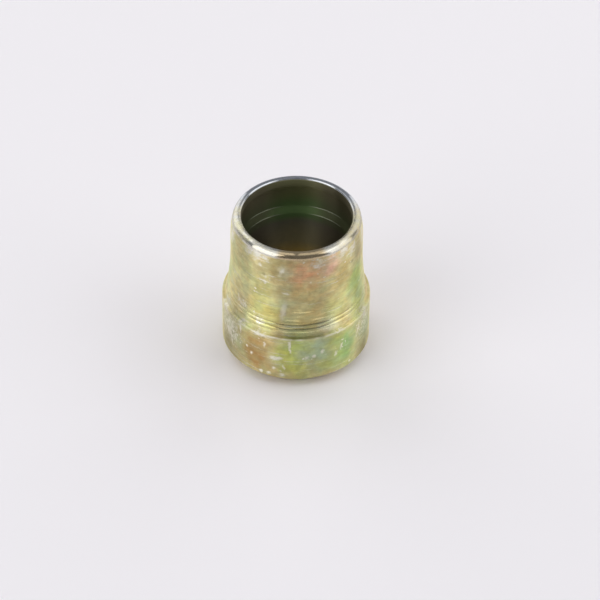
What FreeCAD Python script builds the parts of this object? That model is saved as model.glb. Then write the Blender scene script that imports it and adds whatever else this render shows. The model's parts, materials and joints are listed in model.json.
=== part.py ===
# Compression olive: a ring turned in one piece from steel, which grips a tube when its nose is
# pressed into a tapered seat. It stands on its rear face with the narrow nose up. The origin is the
# centre of the rear face, and +Z runs along the bore towards the nose. Sizes are in millimetres.
import FreeCAD, Part
import math
import os

import Sketcher

# Driving dimensions: the name of each size, its value and what it measures
SIZES = (
    ("tube_diameter", 10.0, "outside of the tube that the ring grips"),
    ("lip_clearance", 0.13, "lip bore over the tube, on the diameter"),
    ("guide_clearance", 0.2, "guide bore over the tube, on the diameter"),
    ("lip_length", 0.9, "biting lip, along the axis"),
    ("relief_depth", 0.34, "relief groove below the guide bore, on the radius"),
    ("relief_length", 2.55, "floor of the relief groove, along the axis"),
    ("relief_exit", 0.65, "cone from the groove's floor to the guide bore, along the axis"),
    ("collar_wall", 0.93, "collar outside the guide bore, on the radius"),
    ("flare_rise", 0.54, "flare above the collar, on the radius"),
    ("shoulder_step", 0.26, "ledge between the flare and the base, on the radius"),
    ("base_length", 5.86, "rear face to shoulder"),
    ("flare_length", 5.41, "shoulder to the foot of the straight collar"),
    ("collar_length", 1.35, "straight collar"),
    ("nose_length", 2.33, "crowned nose above the straight collar"),
    ("nose_reduction", 0.27, "how far the crown draws the nose in, on the radius"),
    ("rear_chamfer", 1.0, "45 degree shoulder that the nut pushes on"),
    ("mouth_chamfer", 0.25, "lead-in at the rear mouth of the bore"),
    ("lip_break", 0.12, "broken edge at the front mouth of the bore"),
    ("shoulder_round", 0.08, "round on the shoulder's outer edge"),
    ("rim_round", 0.54, "round on the nose's outer edge"),
)
NODE = "compression_olive"

# Sizes that follow from the driving ones, as formulas of the sheet
GUIDE_RADIUS = "(Sizes.tube_diameter + Sizes.guide_clearance) / 2"
LIP_RADIUS = "(Sizes.tube_diameter + Sizes.lip_clearance) / 2"
COLLAR_RADIUS = f"{GUIDE_RADIUS} + Sizes.collar_wall"
OVERALL_LENGTH = "Sizes.base_length + Sizes.flare_length + Sizes.collar_length + Sizes.nose_length"

# The shoulder's round stays within this share of the ledge that it is cut into
LEDGE_SHARE = 0.8
SHOULDER_ROUND = f"min(Sizes.shoulder_round; {LEDGE_SHARE} * Sizes.shoulder_step)"

# The rim's round stays within this share of the flat between the nose's edge and the bore's
RIM_SHARE = 0.95
NOSE_RADIUS = f"{COLLAR_RADIUS} - Sizes.nose_reduction"
NOSE_FLAT = f"{NOSE_RADIUS} - ({LIP_RADIUS}) - Sizes.lip_break"
RIM_ROUND = f"min(Sizes.rim_round; {RIM_SHARE} * ({NOSE_FLAT}))"

# An edge is the one looked for if its radius and height are this close
EDGE_TOLERANCE = 1e-4

# Ends of a line or arc in a sketch, and the sketch's own origin
START = 1
END = 2
ORIGIN = (-1, 1)
UP = FreeCAD.Vector(0, 0, 1)


def make_sheet(doc):
    """The sheet of driving dimensions, one named cell a row."""
    sheet = doc.addObject("Spreadsheet::Sheet", "Sizes")
    for row, (name, value, meaning) in enumerate(SIZES, start=1):
        sheet.set(f"A{row}", name)
        sheet.set(f"B{row}", str(value))
        sheet.set(f"C{row}", meaning)
        sheet.setAlias(f"B{row}", name)
    doc.recompute()
    return sheet


def new_sketch(body, name):
    """An empty sketch on the plane through the axis: across is the radius, up is the height."""
    sketch = body.newObject("Sketcher::SketchObject", name)
    plane = next(item for item in body.Origin.OriginFeatures if item.Role == "XZ_Plane")
    sketch.AttachmentSupport = [(plane, "")]
    sketch.MapMode = "FlatFace"
    return sketch


def point(radius, height):
    """A point of a sketch from its radius and height."""
    return FreeCAD.Vector(radius, height, 0)


def arc(centre, radius, first_angle, last_angle):
    """An arc about a centre, running anticlockwise between two angles."""
    return Part.ArcOfCircle(Part.Circle(centre, UP, radius), first_angle, last_angle)


def join_ends(sketch, pairs):
    """Make the two ends of each pair one point."""
    for first, second in pairs:
        sketch.addConstraint(Sketcher.Constraint("Coincident", *first, *second))


def lay_straight(sketch, direction, lines):
    """Hold lines level or upright."""
    for line in lines:
        sketch.addConstraint(Sketcher.Constraint(direction, line))


def dimension(sketch, direction, first, second, name, formula):
    """Tie the distance from one point to another to a formula of the sheet's sizes."""
    start = sketch.getPoint(*first)
    end = sketch.getPoint(*second)
    length = end.x - start.x if direction == "DistanceX" else end.y - start.y
    index = sketch.addConstraint(Sketcher.Constraint(direction, *first, *second, length))
    sketch.renameConstraint(index, name)
    sketch.setExpression(f"Constraints.{name}", formula)


def draw_outside(body, sheet):
    """Half section of the outside: base, shoulder, hollow flare, straight collar, crowned nose.

    Returns the sketch and its corners that are broken later, as (radius, height) points by name.
    """
    collar = (sheet.tube_diameter + sheet.guide_clearance) / 2 + sheet.collar_wall
    flare_foot = collar + sheet.flare_rise
    base = flare_foot + sheet.shoulder_step
    shoulder_height = sheet.base_length
    collar_foot = shoulder_height + sheet.flare_length
    nose_foot = collar_foot + sheet.collar_length
    top = nose_foot + sheet.nose_length
    nose = collar - sheet.nose_reduction

    # Both arcs are tangent to the collar, so their centres lie level with its ends
    flare_radius = (sheet.flare_length**2 + sheet.flare_rise**2) / (2 * sheet.flare_rise)
    flare_sweep = math.asin(sheet.flare_length / flare_radius)
    crown_radius = (sheet.nose_length**2 + sheet.nose_reduction**2) / (2 * sheet.nose_reduction)
    crown_sweep = math.asin(sheet.nose_length / crown_radius)

    sketch = new_sketch(body, "OuterProfile")
    rear = sketch.addGeometry(Part.LineSegment(point(0, 0), point(base, 0)))
    side = sketch.addGeometry(Part.LineSegment(point(base, 0), point(base, shoulder_height)))
    ledge = sketch.addGeometry(
        Part.LineSegment(point(base, shoulder_height), point(flare_foot, shoulder_height))
    )
    flare_centre = point(collar + flare_radius, collar_foot)
    flare = sketch.addGeometry(arc(flare_centre, flare_radius, math.pi, math.pi + flare_sweep))
    straight = sketch.addGeometry(
        Part.LineSegment(point(collar, collar_foot), point(collar, nose_foot))
    )
    crown_centre = point(collar - crown_radius, nose_foot)
    crown = sketch.addGeometry(arc(crown_centre, crown_radius, 0, crown_sweep))
    front = sketch.addGeometry(Part.LineSegment(point(nose, top), point(0, top)))
    axis = sketch.addGeometry(Part.LineSegment(point(0, top), point(0, 0)))

    join_ends(
        sketch,
        (
            ((rear, START), ORIGIN),
            ((rear, END), (side, START)),
            ((side, END), (ledge, START)),
            ((ledge, END), (flare, END)),
            ((crown, END), (front, START)),
            ((front, END), (axis, START)),
            ((axis, END), (rear, START)),
        ),
    )
    sketch.addConstraint(Sketcher.Constraint("Tangent", flare, START, straight, START))
    sketch.addConstraint(Sketcher.Constraint("Tangent", straight, END, crown, START))
    lay_straight(sketch, "Horizontal", (rear, ledge, front))
    lay_straight(sketch, "Vertical", (side, straight, axis))

    across = "DistanceX"
    along = "DistanceY"
    dimension(sketch, across, ORIGIN, (straight, START), "collar_radius", COLLAR_RADIUS)
    dimension(sketch, across, (flare, START), (flare, END), "flare_rise", "Sizes.flare_rise")
    dimension(sketch, across, (ledge, END), (ledge, START), "step", "Sizes.shoulder_step")
    dimension(sketch, across, (crown, END), (crown, START), "draw_in", "Sizes.nose_reduction")
    dimension(sketch, along, (side, START), (side, END), "base_length", "Sizes.base_length")
    dimension(sketch, along, (flare, END), (flare, START), "flare_length", "Sizes.flare_length")
    dimension(sketch, along, (straight, START), (straight, END), "collar", "Sizes.collar_length")
    dimension(sketch, along, (crown, START), (crown, END), "nose_length", "Sizes.nose_length")
    corners = {
        "rear": point(base, 0),
        "shoulder": point(base, shoulder_height),
        "rim": point(nose, top),
    }
    return sketch, corners


def draw_bore(body, sheet):
    """Half section of the bore: guide bore, cone, relief groove and biting lip, from rear to front.

    Returns the sketch and its corners that are broken later, as (radius, height) points by name.
    """
    guide = (sheet.tube_diameter + sheet.guide_clearance) / 2
    lip = (sheet.tube_diameter + sheet.lip_clearance) / 2
    relief = guide + sheet.relief_depth
    top = sheet.base_length + sheet.flare_length + sheet.collar_length + sheet.nose_length
    lip_foot = top - sheet.lip_length
    relief_foot = lip_foot - sheet.relief_length
    guide_top = relief_foot - sheet.relief_exit

    outline = (
        point(0, 0),
        point(guide, 0),
        point(guide, guide_top),
        point(relief, relief_foot),
        point(relief, lip_foot),
        point(lip, lip_foot),
        point(lip, top),
        point(0, top),
    )
    sketch = new_sketch(body, "BoreProfile")
    lines = [
        sketch.addGeometry(Part.LineSegment(first, second))
        for first, second in zip(outline, outline[1:] + outline[:1])
    ]
    rear, guide_wall, exit_cone, floor, bite, lip_wall, front, axis = lines

    join_ends(sketch, [((line, START), (before, END)) for before, line in zip(lines, lines[1:])])
    join_ends(sketch, (((axis, END), (rear, START)), ((rear, START), ORIGIN)))
    lay_straight(sketch, "Horizontal", (rear, bite, front))
    lay_straight(sketch, "Vertical", (guide_wall, floor, lip_wall, axis))

    across = "DistanceX"
    along = "DistanceY"
    dimension(sketch, across, ORIGIN, (guide_wall, START), "guide_radius", GUIDE_RADIUS)
    dimension(sketch, across, ORIGIN, (lip_wall, START), "lip_radius", LIP_RADIUS)
    dimension(sketch, across, (exit_cone, START), (exit_cone, END), "depth", "Sizes.relief_depth")
    dimension(sketch, along, (exit_cone, START), (exit_cone, END), "exit", "Sizes.relief_exit")
    dimension(sketch, along, (floor, START), (floor, END), "floor", "Sizes.relief_length")
    dimension(sketch, along, (lip_wall, START), (lip_wall, END), "lip_length", "Sizes.lip_length")
    dimension(sketch, along, ORIGIN, (axis, START), "overall_length", OVERALL_LENGTH)
    corners = {
        "mouth": point(guide, 0),
        "lip": point(lip, top),
    }
    return sketch, corners


def turn(body, kind, name, sketch):
    """A full turn of a sketch about the axis, as a revolution or a groove."""
    feature = body.newObject(f"PartDesign::{kind}", name)
    feature.Profile = sketch
    feature.ReferenceAxis = (sketch, ["V_Axis"])
    feature.Angle = 360
    body.Document.recompute()
    return feature


def ring_edge(feature, corner):
    """The name of the round edge of a feature at a corner, given as radius and height."""
    for number, edge in enumerate(feature.Shape.Edges, start=1):
        if not isinstance(edge.Curve, Part.Circle):
            continue
        same_radius = abs(edge.Curve.Radius - corner.x) < EDGE_TOLERANCE
        same_height = abs(edge.Curve.Center.z - corner.y) < EDGE_TOLERANCE
        if same_radius and same_height:
            return f"Edge{number}"
    raise RuntimeError(f"{feature.Name} has no round edge at {corner.x:.3f}, {corner.y:.3f}")


def chamfer(body, name, corner, formula):
    """Cut the edge at one corner of the body so far at 45 degrees."""
    base = body.Tip
    feature = body.newObject("PartDesign::Chamfer", name)
    feature.Base = (base, [ring_edge(base, corner)])
    feature.setExpression("Size", formula)
    body.Document.recompute()


def fillet(body, name, corner, formula):
    """Round the edge at one corner of the body so far."""
    base = body.Tip
    feature = body.newObject("PartDesign::Fillet", name)
    feature.Base = (base, [ring_edge(base, corner)])
    feature.setExpression("Radius", formula)
    body.Document.recompute()


def make_olive(doc, sheet):
    """Turn the blank, bore it, then break its edges in the order of the cuts."""
    body = doc.addObject("PartDesign::Body", NODE)
    body.Label = NODE
    body.Placement = FreeCAD.Placement()

    outside, outer_corners = draw_outside(body, sheet)
    blank = turn(body, "Revolution", "TurnedBlank", outside)
    bore, bore_corners = draw_bore(body, sheet)
    bored = turn(body, "Groove", "SteppedBore", bore)
    removed = blank.Shape.Volume - bored.Shape.Volume
    tube_volume = math.pi * (sheet.tube_diameter / 2) ** 2 * outer_corners["rim"].y
    if removed < tube_volume:
        raise RuntimeError("the bore doesn't pass through the ring")

    chamfer(body, "NutShoulder", outer_corners["rear"], "Sizes.rear_chamfer")
    chamfer(body, "TubeLeadIn", bore_corners["mouth"], "Sizes.mouth_chamfer")
    chamfer(body, "LipEdge", bore_corners["lip"], "Sizes.lip_break")
    fillet(body, "ShoulderRound", outer_corners["shoulder"], SHOULDER_ROUND)
    fillet(body, "NoseRim", outer_corners["rim"], RIM_ROUND)
    return body


def check(doc, bodies):
    """Stop if any object failed to build or a sub-part is not one sound solid."""
    for item in doc.Objects:
        if "Invalid" in item.State or "Error" in item.State:
            raise RuntimeError(f"{item.Name} failed: {item.State}")
    for body in bodies:
        shape = body.Shape
        if shape.isNull() or not shape.isValid() or len(shape.Solids) != 1:
            raise RuntimeError(f"{body.Label} is not one valid solid")


def main():
    doc = FreeCAD.newDocument("CompressionOlive")
    sheet = make_sheet(doc)
    bodies = [make_olive(doc, sheet)]
    doc.recompute()
    check(doc, bodies)

    os.makedirs("parts", exist_ok=True)
    for body in bodies:
        body.Shape.exportStep(f"parts/{body.Label}.step")
        box = body.Shape.optimalBoundingBox()
        print(f"{body.Label}: {body.Shape.Volume:.2f} mm3, {box.XLength:.3f} wide, {box.ZLength:.3f} high")


main()
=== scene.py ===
"""Looks of a compression olive: a small turned steel ring with a worn yellow chromate plate.

The ring is one piece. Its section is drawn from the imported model's own sizes, swept round the axis,
marked by the turning tool and by handling, and dressed in one procedural finish. Lengths are metres,
and millimetres within the patterns.
"""

import functools
import json
import logging
import math
from collections.abc import Iterable
from dataclasses import dataclass
from enum import Enum
from typing import Any

import bpy
from mathutils import Matrix, Quaternion, Vector


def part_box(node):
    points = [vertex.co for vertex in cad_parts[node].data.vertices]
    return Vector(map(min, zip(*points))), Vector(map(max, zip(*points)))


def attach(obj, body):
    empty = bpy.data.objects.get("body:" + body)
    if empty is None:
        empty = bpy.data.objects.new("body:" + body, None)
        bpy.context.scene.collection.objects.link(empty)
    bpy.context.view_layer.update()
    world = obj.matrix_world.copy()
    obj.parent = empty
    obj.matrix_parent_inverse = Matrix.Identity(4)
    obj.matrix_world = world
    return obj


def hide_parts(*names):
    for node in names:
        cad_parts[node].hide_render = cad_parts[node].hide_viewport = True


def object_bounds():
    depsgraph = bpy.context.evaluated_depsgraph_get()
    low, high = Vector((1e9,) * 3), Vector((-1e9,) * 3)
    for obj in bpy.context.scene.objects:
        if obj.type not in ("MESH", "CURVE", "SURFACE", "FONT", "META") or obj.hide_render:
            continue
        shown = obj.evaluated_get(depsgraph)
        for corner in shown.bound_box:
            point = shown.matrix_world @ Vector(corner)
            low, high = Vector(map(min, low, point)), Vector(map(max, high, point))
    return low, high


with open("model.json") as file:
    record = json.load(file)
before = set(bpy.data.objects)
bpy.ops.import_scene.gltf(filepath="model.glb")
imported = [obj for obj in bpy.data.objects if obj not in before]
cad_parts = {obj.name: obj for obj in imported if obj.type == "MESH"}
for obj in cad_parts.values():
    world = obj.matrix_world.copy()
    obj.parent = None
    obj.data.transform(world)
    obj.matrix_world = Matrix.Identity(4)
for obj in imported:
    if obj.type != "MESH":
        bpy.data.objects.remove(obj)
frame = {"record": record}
CAD_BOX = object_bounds()

LOG = logging.getLogger("olive")
NODE = "compression_olive"
PIECE = "turned_olive"
BODY = "root"
MM = 0.001
PER_MM = 1.0 / MM
HALF = 0.5

# Spots on the outside are placed on a straight wall of this radius, which stands for its whole height
WALL_MM = 6.5

# What changes at the ledge is blurred this far to either side of it
LEDGE_BLUR_MM = 0.1

# Colour sockets of a mix node, which share their names with its sockets for numbers and vectors
MIX_FIRST = 6
MIX_SECOND = 7
MIX_RESULT = 2

# A round below this radius gets few facets, and a larger one gets many
SMALL_ROUND = 0.1 * MM
FEW_FACETS = 3
MANY_FACETS = 7

# A run that is longer than a whole number of steps by less than this share isn't divided further
STEP_SLACK = 1e-6

Colour = tuple[float, float, float, float]
Tones = tuple[tuple[float, Colour], ...]
Triple = tuple[float, float, float]
Socket = bpy.types.NodeSocket
Value = Socket | float | tuple[float, ...]


class Sweep(Enum):
    """Which way an arc of the section leaves the collar's wall."""

    OUTWARD = 1.0
    INWARD = -1.0


def add_object(name: str, data: bpy.types.ID) -> bpy.types.Object:
    """Put some data into the scene as an object.

    Args:
        name: the object's name.
        data: its mesh, curve, lamp or camera.

    Returns:
        The object, at the origin.
    """
    added = bpy.data.objects.new(name, data)
    bpy.context.scene.collection.objects.link(added)
    return added


def blank_tree(owner: bpy.types.Material | bpy.types.World) -> bpy.types.NodeTree:
    """Give a material or a world an empty tree.

    Args:
        owner: the material or the world.

    Returns:
        Its tree.
    """
    owner.use_nodes = True
    owner.node_tree.nodes.clear()
    return owner.node_tree


class NodeGraph:
    """Adds nodes to a tree and joins them, so that a pattern reads as a row of expressions."""

    def __init__(self, tree: bpy.types.NodeTree) -> None:
        """Start on a shader or geometry tree."""
        self.tree = tree

    def node(
        self, kind: str, inputs: dict[str | int, Value] | None = None, **settings: Any
    ) -> bpy.types.Node:
        """Add one node.

        Args:
            kind: the node's type name.
            inputs: what its sockets get, by name or number: another node's output or a constant.
            settings: the node's own properties.

        Returns:
            The new node.
        """
        made = self.tree.nodes.new(kind)
        for name, setting in settings.items():
            setattr(made, name, setting)
        for name, value in (inputs or {}).items():
            self.feed(made.inputs[name], value)
        return made

    def feed(self, socket: Socket, value: Value) -> None:
        """Link an output to a socket, or set the socket to a constant.

        Args:
            socket: the socket that is fed.
            value: another node's output, or a constant.
        """
        if isinstance(value, bpy.types.NodeSocket):
            self.tree.links.new(value, socket)
        else:
            socket.default_value = value

    def math(self, operation: str, *values: Value) -> Socket:
        """One sum, product or other operation on numbers."""
        return self.node("ShaderNodeMath", dict(enumerate(values)), operation=operation).outputs[0]

    def fold(self, operation: str, values: Iterable[Value]) -> Value:
        """One operation run through several numbers, each joined on before the next is made."""
        return functools.reduce(lambda first, second: self.math(operation, first, second), values)

    def vector(self, operation: str, *values: Value) -> Socket:
        """One operation on vectors that gives a vector."""
        return self.node("ShaderNodeVectorMath", dict(enumerate(values)), operation=operation).outputs[0]

    def scaled(self, vector: Value, factor: Value) -> Socket:
        """A vector times a number."""
        sockets = {0: vector, "Scale": factor}
        return self.node("ShaderNodeVectorMath", sockets, operation="SCALE").outputs[0]

    def length(self, vector: Value) -> Socket:
        """How long a vector is."""
        return self.node("ShaderNodeVectorMath", {0: vector}, operation="LENGTH").outputs["Value"]

    def distance(self, first: Value, second: Value) -> Socket:
        """How far apart two points are."""
        ends = {0: first, 1: second}
        return self.node("ShaderNodeVectorMath", ends, operation="DISTANCE").outputs["Value"]

    def axis(self, vector: Value, letter: str) -> Socket:
        """One of a vector's three parts, by its letter."""
        return self.node("ShaderNodeSeparateXYZ", {0: vector}).outputs[letter]

    def from_axis(self, place: Value) -> Socket:
        """How far a point lies from the ring's axis."""
        return self.length(self.vector("MULTIPLY", place, (1.0, 1.0, 0.0)))

    def ramp(
        self, value: Value, low: float, high: float, low_to: Value = 0.0, high_to: Value = 1.0
    ) -> Socket:
        """A smooth step between two values.

        Args:
            value: what is compared.
            low: where the step begins.
            high: where the step ends.
            low_to: the result below the step.
            high_to: the result above the step.

        Returns:
            The stepped number.
        """
        sockets = {"Value": value, "From Min": low, "From Max": high, "To Min": low_to, "To Max": high_to}
        return self.node("ShaderNodeMapRange", sockets, interpolation_type="SMOOTHSTEP").outputs[0]

    def noise(self, vector: Value, scale: float, detail: float, roughness: float = HALF) -> bpy.types.Node:
        """A node of cloudy noise, whose number and colour lie round about a half."""
        sockets = {"Vector": vector, "Scale": scale, "Detail": detail, "Roughness": roughness}
        return self.node("ShaderNodeTexNoise", sockets)

    def blend(self, share: Value, first: Value, second: Value) -> Socket:
        """A colour between two, by the share of the second."""
        sockets = {"Factor": share, MIX_FIRST: first, MIX_SECOND: second}
        return self.node("ShaderNodeMix", sockets, data_type="RGBA").outputs[MIX_RESULT]

    def tone(self, share: Socket, tones: Tones) -> Socket:
        """A colour picked from a row of tones.

        Args:
            share: where along the row, from 0 to 1.
            tones: the row, each with its place.

        Returns:
            The colour.
        """
        row = self.node("ShaderNodeValToRGB", {"Fac": share})
        stops = row.color_ramp.elements
        while len(stops) < len(tones):
            stops.new(1.0)
        for stop, (position, colour) in zip(stops, tones):
            stop.position = position
            stop.color = colour
        return row.outputs[0]


@dataclass(frozen=True)
class Step:
    """A smooth step: where it begins and ends, and the results below and above it."""

    low: float
    high: float
    low_to: float = 0.0
    high_to: float = 1.0

    def of(self, graph: NodeGraph, value: Value, zero: float = 0.0) -> Socket:
        """The stepped number, with the step's ends counted from zero."""
        return graph.ramp(value, zero + self.low, zero + self.high, self.low_to, self.high_to)


@dataclass(frozen=True)
class Band:
    """A stretch that fades in and out: where it begins, is full, starts to fade and ends."""

    begin: float
    full: float
    fade: float
    end: float

    def of(self, graph: NodeGraph, value: Value, zero: float = 0.0) -> Socket:
        """How far a number lies in the band.

        Args:
            graph: the nodes that get the pattern.
            value: the number.
            zero: what the band's limits are counted from.

        Returns:
            1 in the band, 0 outside it.
        """
        rising = graph.ramp(value, zero + self.begin, zero + self.full)
        falling = graph.ramp(value, zero + self.fade, zero + self.end, 1.0, 0.0)
        return graph.math("MULTIPLY", rising, falling)


@dataclass(frozen=True)
class Cloud:
    """Noise from 0 to 1 round about a half, on axes that are scaled if a stretch is given."""

    scale: float
    detail: float = 2.0
    roughness: float = 0.5
    stretch: Triple | None = None

    def at(self, graph: NodeGraph, place: Value) -> Socket:
        """The noise at a point, in millimetres."""
        drawn = graph.vector("MULTIPLY", place, self.stretch) if self.stretch else place
        return graph.noise(drawn, self.scale, self.detail, self.roughness).outputs[0]


@dataclass(frozen=True)
class Drift:
    """A wander of points by noise, so that what is drawn on them gets ragged borders."""

    scale: float
    reach: float
    detail: float = 4.0

    def of(self, graph: NodeGraph, place: Value) -> Socket:
        """A point after its wander.

        Args:
            graph: the nodes that get the pattern.
            place: the point, in millimetres.

        Returns:
            The moved point.
        """
        cloud = graph.noise(place, self.scale, self.detail).outputs["Color"]
        offset = graph.vector("SUBTRACT", cloud, (HALF, HALF, HALF))
        return graph.vector("ADD", place, graph.scaled(offset, self.reach))


@dataclass(frozen=True)
class Specks:
    """Scattered round dots, each in a cell of its own, full in its core and gone at its size.

    The scale is cells to a millimetre, the size is a dot's part of its cell, and the share is how many of
    the cells have a dot.
    """

    scale: float
    size: float
    share: float
    core: float = 0.4

    def at(self, graph: NodeGraph, place: Value) -> Socket:
        """How far a point lies in a dot.

        Args:
            graph: the nodes that get the pattern.
            place: the point, in millimetres.

        Returns:
            1 in the middle of a dot, 0 outside it.
        """
        cells = graph.node("ShaderNodeTexVoronoi", {"Vector": place, "Scale": self.scale})
        kept = graph.math("LESS_THAN", graph.axis(cells.outputs["Color"], "X"), self.share)
        dot = graph.ramp(cells.outputs["Distance"], self.core * self.size, self.size, 1.0, 0.0)
        return graph.math("MULTIPLY", dot, kept)


def on_wall(azimuth_deg: float, height_mm: float) -> Triple:
    """A point on the ring's outside, as one points at it: round from the front, and up.

    Args:
        azimuth_deg: the angle round the axis, to the right as seen from the front.
        height_mm: the height above the rear face.

    Returns:
        The point, in millimetres.
    """
    turn = math.radians(azimuth_deg)
    return (WALL_MM * math.sin(turn), -WALL_MM * math.cos(turn), height_mm)


@dataclass(frozen=True)
class Patch:
    """A soft round spot on the ring's outside, full in its core and gone at its reach."""

    azimuth_deg: float
    height_mm: float
    reach_mm: float
    weight: float
    core: float = 0.0

    def at(self, graph: NodeGraph, place: Value) -> Socket:
        """The spot's weight at a point, in millimetres."""
        away = graph.distance(place, on_wall(self.azimuth_deg, self.height_mm))
        return graph.ramp(away, self.core * self.reach_mm, self.reach_mm, self.weight, 0.0)


@dataclass(frozen=True)
class Scrape:
    """A rubbed streak on the ring's outside, lying level or leaning."""

    azimuth_deg: float
    height_mm: float
    half_length_mm: float
    half_width_mm: float
    weight: float
    lean_deg: float = 0.0
    core: float = 0.2

    def at(self, graph: NodeGraph, place: Value) -> Socket:
        """The streak's weight at a point.

        Args:
            graph: the nodes that get the pattern.
            place: the point, in millimetres.

        Returns:
            The weight.
        """
        laid = {
            "Vector": place,
            "Location": on_wall(self.azimuth_deg, self.height_mm),
            "Rotation": (0.0, -math.radians(self.lean_deg), math.radians(self.azimuth_deg)),
            "Scale": (self.half_length_mm, 1.0, self.half_width_mm),
        }
        away = graph.node("ShaderNodeMapping", laid, vector_type="TEXTURE").outputs[0]
        return graph.ramp(graph.length(away), self.core, 1.0, self.weight, 0.0)


@dataclass(frozen=True)
class Bloom:
    """A spot where the film is thicker or thinner and shows another colour."""

    patch: Patch
    colour: Colour


def heaviest(graph: NodeGraph, place: Value, spots: tuple[Patch | Scrape, ...]) -> Value:
    """The weight of the heaviest of some spots at a point, 0 outside them all."""
    return graph.fold("MAXIMUM", (spot.at(graph, place) for spot in spots))


@dataclass(frozen=True)
class Stations:
    """Where the ring's forms begin and end, in millimetres, for the finish to follow."""

    shoulder: float
    guide_top: float
    relief_foot: float
    rim_foot: float
    top: float
    bore_reach: float


class RingGraph(NodeGraph):
    """The finish's nodes, with where the coloured point lies on the ring, in millimetres."""

    def __init__(self, tree: bpy.types.NodeTree, stations: Stations) -> None:
        """Start on a material's tree with the point, its height, its reach and its place on the wall.

        Args:
            tree: the material's tree.
            stations: where the ring's forms begin and end.
        """
        super().__init__(tree)
        self.stations = stations
        self.place = self.scaled(self.node("ShaderNodeTexCoord").outputs["Object"], PER_MM)
        self.height = self.axis(self.place, "Z")
        self.reach = self.from_axis(self.place)
        push = self.math("DIVIDE", WALL_MM, self.reach)
        spread = self.node("ShaderNodeCombineXYZ", {0: push, 1: push, 2: 1.0}).outputs[0]
        self.wall = self.vector("MULTIPLY", self.place, spread)

    def by_ledge(self, below: float, above: float) -> Socket:
        """One number on the base and another above the ledge."""
        ledge = Step(-LEDGE_BLUR_MM, LEDGE_BLUR_MM, below, above)
        return ledge.of(self, self.height, self.stations.shoulder)


@dataclass(frozen=True)
class TurningMarks:
    """The rings that the tool left above the shoulder: whole at first, and broken further up the flare.

    The first ring, the pitch, the zone and the foot are in millimetres, from the shoulder up. The
    profile is in shares of the pitch, and where the rings break and end is in shares of the zone.
    """

    first_mm: float = 0.43
    pitch_mm: float = 0.435
    zone_mm: float = 3.2
    profile: Step = Step(0.0, 0.45, 1.0, 0.0)
    foot: Step = Step(0.15, 0.85)
    whole_to: float = 0.41
    broken_from: float = 0.56
    end: Step = Step(0.8, 1.0, 1.0, 0.0)
    gaps: Cloud = Cloud(1.0, 2.0, stretch=(0.6, 0.6, 1.2))
    gap_step: Step = Step(0.42, 0.60, 0.0, 0.35)
    wander: Cloud = Cloud(1.0, 2.0, stretch=(0.22, 0.22, 1.7))
    wander_step: Step = Step(0.3, 0.55, 0.0, 0.35)
    deep: tuple[Patch, ...] = (
        Patch(4.0, 6.6, 6.0, 0.65, 0.6),
        Patch(-40.0, 8.6, 2.6, 0.70, 0.3),
        Patch(48.0, 8.2, 2.2, 0.55, 0.2),
    )

    def sizes(self, foot_mm: float) -> dict[str, Value]:
        """The pattern's sizes, from the height that it starts at."""
        return {"foot": foot_mm, "first": self.first_mm, "pitch": self.pitch_mm, "zone": self.zone_mm}

    def share(self, graph: NodeGraph, place: Value, sizes: dict[str, Value]) -> Socket:
        """How deep in a ring a point lies, from 0 to about 1.

        Args:
            graph: the nodes that get the pattern.
            place: the point, in millimetres.
            sizes: foot, first, pitch and zone, as numbers or as a tree's inputs.

        Returns:
            The depth's share.
        """
        above = graph.math("SUBTRACT", graph.axis(place, "Z"), sizes["foot"])
        count = graph.math("DIVIDE", graph.math("SUBTRACT", above, sizes["first"]), sizes["pitch"])
        turn = graph.math("FRACT", graph.math("ADD", count, HALF))
        off_middle = graph.math("ABSOLUTE", graph.math("SUBTRACT", turn, HALF))
        groove = self.profile.of(graph, off_middle)
        clear_of_foot = self.foot.of(graph, above)
        part = graph.math("DIVIDE", above, sizes["zone"])
        broken = self.gap_step.of(graph, self.gaps.at(graph, place))
        trailing = graph.ramp(part, self.whole_to, self.broken_from, 1.0, broken)
        fade = graph.math("MULTIPLY", trailing, self.end.of(graph, part))
        wander = self.wander_step.of(graph, self.wander.at(graph, place))
        depth = graph.math("ADD", heaviest(graph, place, self.deep), wander)
        return graph.fold("MULTIPLY", (groove, clear_of_foot, fade, depth))


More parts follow.
